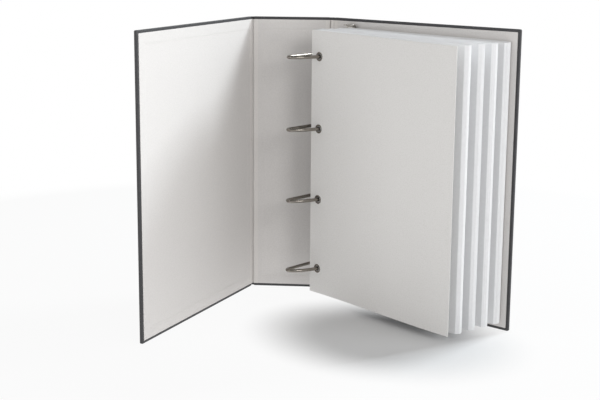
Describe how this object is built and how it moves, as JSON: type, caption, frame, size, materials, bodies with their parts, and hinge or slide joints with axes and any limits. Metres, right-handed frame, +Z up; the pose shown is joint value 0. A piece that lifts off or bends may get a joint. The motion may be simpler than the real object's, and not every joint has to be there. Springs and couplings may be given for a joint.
{
  "type": "ring binder",
  "caption": "Large A4 ring binder standing open, slanted D-rings on the back cover holding fanned bundles of paper behind a card sheet.",
  "frame": {"origin": "centre of the bounding box, on the surface that the binder stands on", "axes": "+Z up along the spine; the spine runs along X with its outside facing +Y, and the binder opens towards -Y"},
  "size_m": [0.3808, 0.2356, 0.318],
  "materials": {
    "board": "raw grey bookbinding board",
    "covering": "dark grey matt embossed covering paper",
    "lining": "pale warm grey uncoated lining paper",
    "nickel": "nickel plated steel, lightly brushed",
    "blade_steel": "plain steel strip",
    "paper": "white writing paper with visible sheet edges",
    "card": "pale grey uncoated card"
  },
  "bodies": {
    "spine": {"spine_board": "board", "spine_covering": "covering", "spine_lining": "lining"},
    "front_cover": {"front_cover_board": "board", "front_cover_covering": "covering", "front_cover_lining": "lining"},
    "back_cover": {"back_cover_board": "board", "back_cover_covering": "covering", "back_cover_lining": "lining", "ring_plate": "nickel", "fixed_blade": "blade_steel", "ring_post_1": "nickel", "ring_post_2": "nickel", "ring_post_3": "nickel", "ring_post_4": "nickel", "upper_rivet": "nickel", "lower_rivet": "nickel", "paper_bundle_1": "paper", "paper_bundle_2": "paper", "paper_bundle_3": "paper", "paper_bundle_4": "paper", "front_card": "card", "eyelet_1": "nickel", "eyelet_2": "nickel", "eyelet_3": "nickel", "eyelet_4": "nickel"},
    "ring_bows": {"swinging_blade": "blade_steel", "ring_bow_1": "nickel", "ring_bow_2": "nickel", "ring_bow_3": "nickel", "ring_bow_4": "nickel"},
    "upper_thumb_lever": {"upper_lever": "nickel"},
    "lower_thumb_lever": {"lower_lever": "nickel"}
  },
  "joints": [
    {"name": "front_cover_hinge", "type": "hinge", "parent": "spine", "child": "front_cover", "pos_m": [-0.10368, 0.11781, 0.159], "axis": [0, 0, 1], "range_deg": [-69.7, 20.3]},
    {"name": "back_cover_hinge", "type": "hinge", "parent": "spine", "child": "back_cover", "pos_m": [-0.00818, 0.11781, 0.159], "axis": [0, 0, 1], "range_deg": [-47.1, 37.4]},
    {"name": "ring_open", "type": "hinge", "parent": "back_cover", "child": "ring_bows", "pos_m": [0.00325, 0.10346, 0.159], "axis": [0, 0, 1], "range_deg": [-6, 0]},
    {"name": "upper_lever_lift", "type": "hinge", "parent": "back_cover", "child": "upper_thumb_lever", "pos_m": [0.01271, 0.09327, 0.298], "axis": [0.7944, -0.6074, 0], "range_deg": [0, 14]},
    {"name": "lower_lever_lift", "type": "hinge", "parent": "back_cover", "child": "lower_thumb_lever", "pos_m": [0.01271, 0.09327, 0.02], "axis": [-0.7944, 0.6074, 0], "range_deg": [0, 14]}
  ],
  "couplings": [
    {"joint": "upper_lever_lift", "follows": "ring_open", "ratio": -2.25},
    {"joint": "lower_lever_lift", "follows": "ring_open", "ratio": -2.25}
  ]
}
